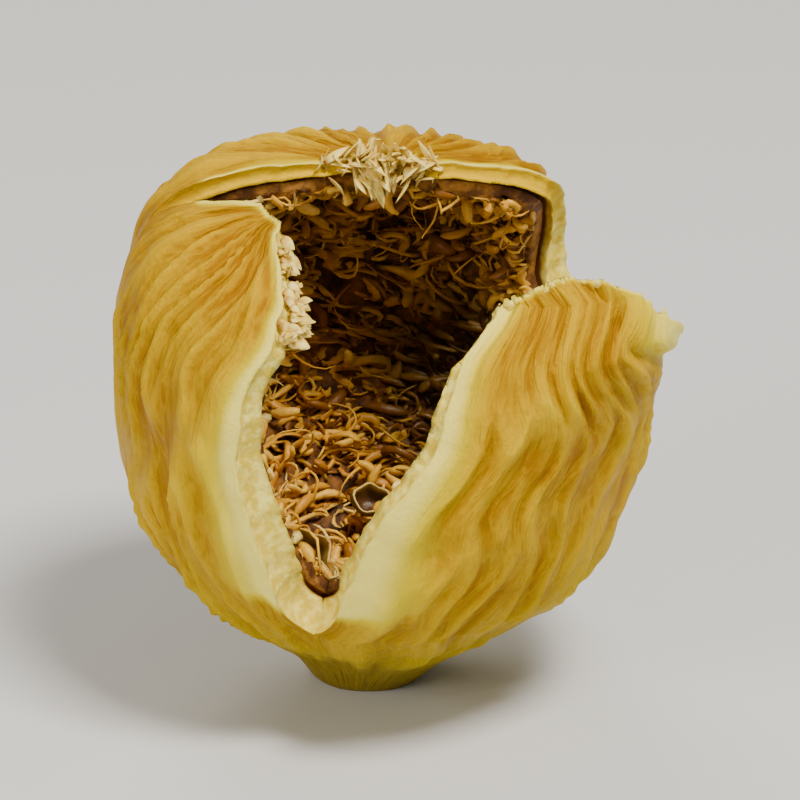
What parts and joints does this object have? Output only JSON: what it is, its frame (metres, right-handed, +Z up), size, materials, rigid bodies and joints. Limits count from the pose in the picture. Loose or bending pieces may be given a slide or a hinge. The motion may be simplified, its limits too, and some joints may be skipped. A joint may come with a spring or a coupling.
{
  "type": "dried fig",
  "caption": "Whole dried fig, split from its eye into lobes that stand open on a brown floret lining, resting mouth up on its pressed stem end",
  "frame": {"origin": "middle of the flat spot where the stem end was pressed, on the surface the fig stands on", "axes": "+Z up, the wide front tear faces -Y, the lobe that leans out is on the +X side"},
  "size_m": [0.0325, 0.0305, 0.0333],
  "materials": {
    "skin": "satin",
    "florets": "matt",
    "scales": "matt"
  },
  "bodies": {
    "root": {"rind": "skin", "floret_lining": "florets", "eye_scales_back": "scales", "eye_scales_left": "scales"}
  },
  "joints": []
}
